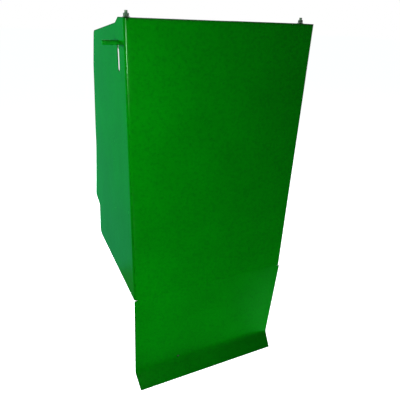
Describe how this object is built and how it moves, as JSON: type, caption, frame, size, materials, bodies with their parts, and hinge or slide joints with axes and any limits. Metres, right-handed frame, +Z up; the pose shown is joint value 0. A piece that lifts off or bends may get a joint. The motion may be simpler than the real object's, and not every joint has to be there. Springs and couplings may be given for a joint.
{
  "type": "grain wagon discharge hood",
  "caption": "Tall folded sheet-steel discharge hood with an open back, slotted side walls, a kicked lip, a cross rod and hook bolts that hold the rod.",
  "frame": {"origin": "on the ground under the middle of the bounding box", "axes": "+X to the right seen from the front, +Y from the front sheet towards the wagon, +Z up"},
  "size_m": [0.6974, 0.6278, 1.348],
  "materials": {
    "green_enamel": "gloss enamel",
    "rod_enamel": "gloss enamel",
    "zinc_bolt": "bright zinc plate",
    "zinc_washer": "bright zinc plate",
    "zinc_nut": "bright zinc plate"
  },
  "bodies": {
    "hood": {"hood_shell": "green_enamel", "left_shelf_weld": "green_enamel", "right_shelf_weld": "green_enamel", "left_shelf_washer": "zinc_washer", "right_shelf_washer": "zinc_washer"},
    "hook_bolts": {"left_hook_bolt": "zinc_bolt", "right_hook_bolt": "zinc_bolt"},
    "rod": {"cross_rod": "rod_enamel", "left_slot_washer": "zinc_washer", "right_slot_washer": "zinc_washer"},
    "left_nut": {"left_hanger_nut": "zinc_nut"},
    "right_nut": {"right_hanger_nut": "zinc_nut"}
  },
  "joints": [
    {"name": "hanger_slide", "type": "slide", "parent": "hood", "child": "hook_bolts", "axis": [0, 0, 1], "range_m": [-0.007, 0]},
    {"name": "rod_turn", "type": "hinge", "parent": "hook_bolts", "child": "rod", "pos_m": [0, -0.21994, 1.266], "axis": [1, 0, 0], "continuous": true},
    {"name": "left_nut_turn", "type": "hinge", "parent": "hood", "child": "left_nut", "pos_m": [-0.285, -0.24375, 1.331], "axis": [0, 0, 1], "range_deg": [0, 1593.4]},
    {"name": "right_nut_turn", "type": "hinge", "parent": "hood", "child": "right_nut", "pos_m": [0.285, -0.24375, 1.331], "axis": [0, 0, 1], "range_deg": [0, 1593.4]}
  ],
  "couplings": [
    {"joint": "left_nut_turn", "follows": "hanger_slide", "rad_per_m": -3957.9},
    {"joint": "right_nut_turn", "follows": "hanger_slide", "rad_per_m": -3957.9}
  ]
}
